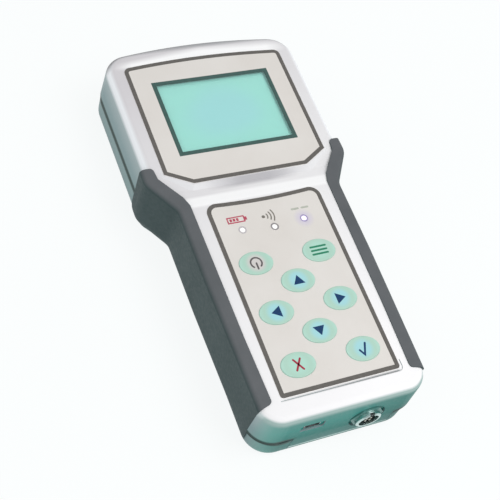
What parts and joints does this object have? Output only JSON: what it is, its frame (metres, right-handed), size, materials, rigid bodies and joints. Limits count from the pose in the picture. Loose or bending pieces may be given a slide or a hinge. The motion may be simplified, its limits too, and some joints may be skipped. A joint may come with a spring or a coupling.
{
  "type": "handheld microchip scanner",
  "caption": "Handheld animal microchip scanner lying on its back: wide antenna head with a display, slim handle with rubber side grips, oval keys and sockets in the lower end.",
  "frame": {"origin": "middle of the casing's length and width, on the flat back that it lies on", "axes": "+Y along the scanner from the handle to the head, +Z out of the face with the keys and the display, +X to the right as the user reads it"},
  "size_m": [0.1026, 0.206, 0.035],
  "materials": {
    "casing_white": "satin",
    "shell_teal": "satin",
    "grip_rubber": "matte",
    "gasket_rubber": "matte",
    "panel_print": "satin",
    "window_clear": "polished",
    "key_mint": "satin",
    "lens_white": "polished",
    "lcd_aqua": "polished",
    "lcd_bezel": "matte",
    "board_green": "satin",
    "chip_black": "matte",
    "steel": "brushed",
    "chrome": "polished",
    "copper_winding": "satin",
    "brass": "satin",
    "inner_plastic": "matte",
    "cell_wrap": "glossy",
    "amber_film": "satin",
    "label_silver": "satin"
  },
  "bodies": {
    "casing": {"top_shell": "casing_white", "bottom_shell": "shell_teal", "battery_door": "shell_teal", "grip_left": "grip_rubber", "grip_right": "grip_rubber", "shell_gasket": "gasket_rubber", "display_panel": "panel_print", "keypad_panel": "panel_print", "screen_window": "window_clear", "status_lens_left": "lens_white", "status_lens_middle": "lens_white", "status_lens_right": "lens_white", "lcd_backlight": "lens_white", "lcd_glass": "lcd_aqua", "lcd_bezel": "lcd_bezel", "keypad_board": "board_green", "lcd_board": "board_green", "main_board": "board_green", "processor_chip": "chip_black", "reader_chip": "chip_black", "memory_chip": "chip_black", "charger_chip": "chip_black", "buzzer": "chip_black", "connector_insert": "chip_black", "usb_insert": "chip_black", "board_link": "chip_black", "status_leds": "chip_black", "key_domes": "steel", "case_screws": "steel", "door_screws": "steel", "display_screws": "steel", "keypad_screws": "steel", "main_board_screws": "steel", "crystal": "steel", "capacitors": "steel", "usb_shell": "steel", "battery_contacts": "steel", "connector_barrel": "chrome", "connector_nut": "chrome", "antenna_coil": "copper_winding", "connector_pins": "brass", "antenna_former": "inner_plastic", "battery_tray": "inner_plastic", "battery_cells": "cell_wrap", "display_ribbon": "amber_film", "rating_label": "label_silver"},
    "power_key": {"key_power": "key_mint"},
    "menu_key": {"key_menu": "key_mint"},
    "up_key": {"key_up": "key_mint"},
    "left_key": {"key_left": "key_mint"},
    "right_key": {"key_right": "key_mint"},
    "down_key": {"key_down": "key_mint"},
    "cancel_key": {"key_cancel": "key_mint"},
    "ok_key": {"key_ok": "key_mint"}
  },
  "joints": [
    {"name": "power_key_press", "type": "slide", "parent": "casing", "child": "power_key", "axis": [0, 0, -1], "range_m": [0, 0.00035], "stiffness_N_per_m": 4000},
    {"name": "menu_key_press", "type": "slide", "parent": "casing", "child": "menu_key", "axis": [0, 0, -1], "range_m": [0, 0.00035], "stiffness_N_per_m": 4000},
    {"name": "up_key_press", "type": "slide", "parent": "casing", "child": "up_key", "axis": [0, 0, -1], "range_m": [0, 0.00035], "stiffness_N_per_m": 4000},
    {"name": "left_key_press", "type": "slide", "parent": "casing", "child": "left_key", "axis": [0, 0, -1], "range_m": [0, 0.00035], "stiffness_N_per_m": 4000},
    {"name": "right_key_press", "type": "slide", "parent": "casing", "child": "right_key", "axis": [0, 0, -1], "range_m": [0, 0.00035], "stiffness_N_per_m": 4000},
    {"name": "down_key_press", "type": "slide", "parent": "casing", "child": "down_key", "axis": [0, 0, -1], "range_m": [0, 0.00035], "stiffness_N_per_m": 4000},
    {"name": "cancel_key_press", "type": "slide", "parent": "casing", "child": "cancel_key", "axis": [0, 0, -1], "range_m": [0, 0.00035], "stiffness_N_per_m": 4000},
    {"name": "ok_key_press", "type": "slide", "parent": "casing", "child": "ok_key", "axis": [0, 0, -1], "range_m": [0, 0.00035], "stiffness_N_per_m": 4000}
  ]
}
